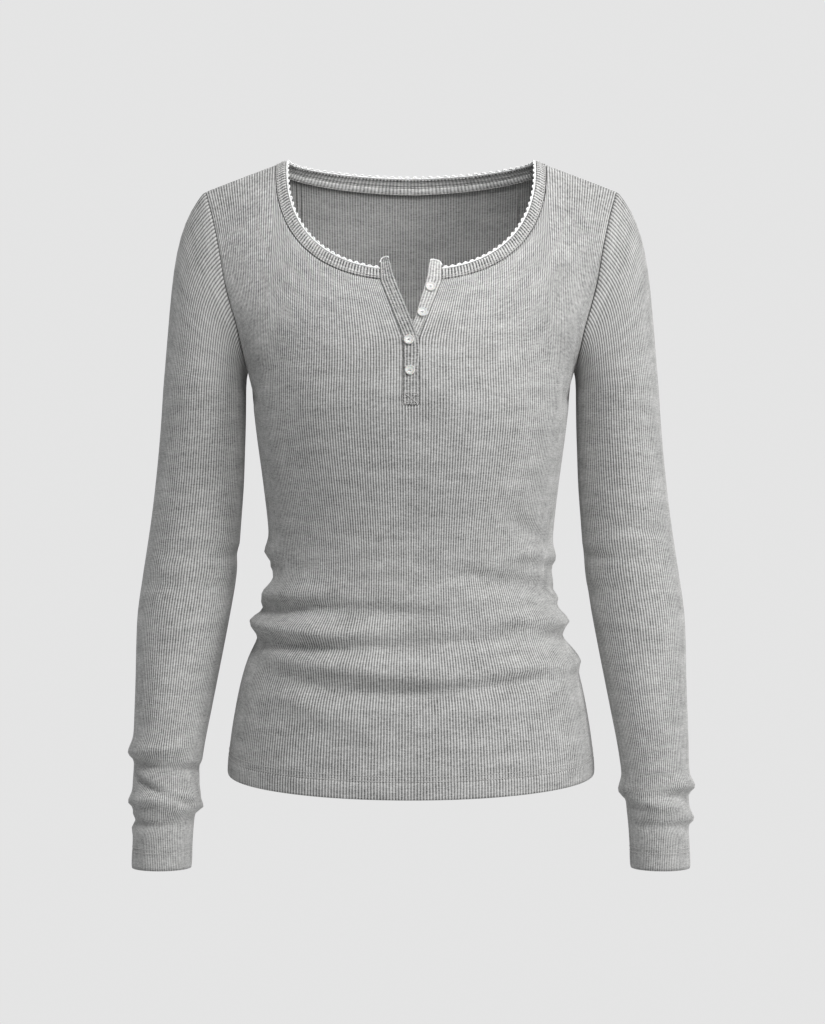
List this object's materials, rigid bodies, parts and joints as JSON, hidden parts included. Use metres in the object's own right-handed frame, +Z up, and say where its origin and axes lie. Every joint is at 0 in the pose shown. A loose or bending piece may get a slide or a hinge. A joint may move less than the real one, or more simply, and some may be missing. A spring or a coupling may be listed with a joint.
{
  "type": "henley shirt",
  "caption": "Long-sleeved fitted henley shirt in grey rib knit, scoop neck with white picot edging and a short open button placket, filled out as worn.",
  "frame": {"origin": "midway between the two high neck points, where the shirt hangs from the wearer's shoulders", "axes": "+Z up, the front towards -Y, the wearer's left towards +X"},
  "size_m": [0.5026, 0.2276, 0.6304],
  "materials": {
    "rib_knit": "matt heather grey rib knit",
    "picot_white": "matt white scalloped edging",
    "button_white": "soft gloss off-white"
  },
  "bodies": {
    "root": {"front": "rib_knit", "back": "rib_knit", "sleeve_left": "rib_knit", "sleeve_right": "rib_knit", "neckband": "rib_knit", "placket_over": "rib_knit", "placket_under": "rib_knit", "picot_edging": "picot_white", "button_1": "button_white", "button_2": "button_white", "button_3": "button_white", "button_4": "button_white"}
  },
  "joints": []
}
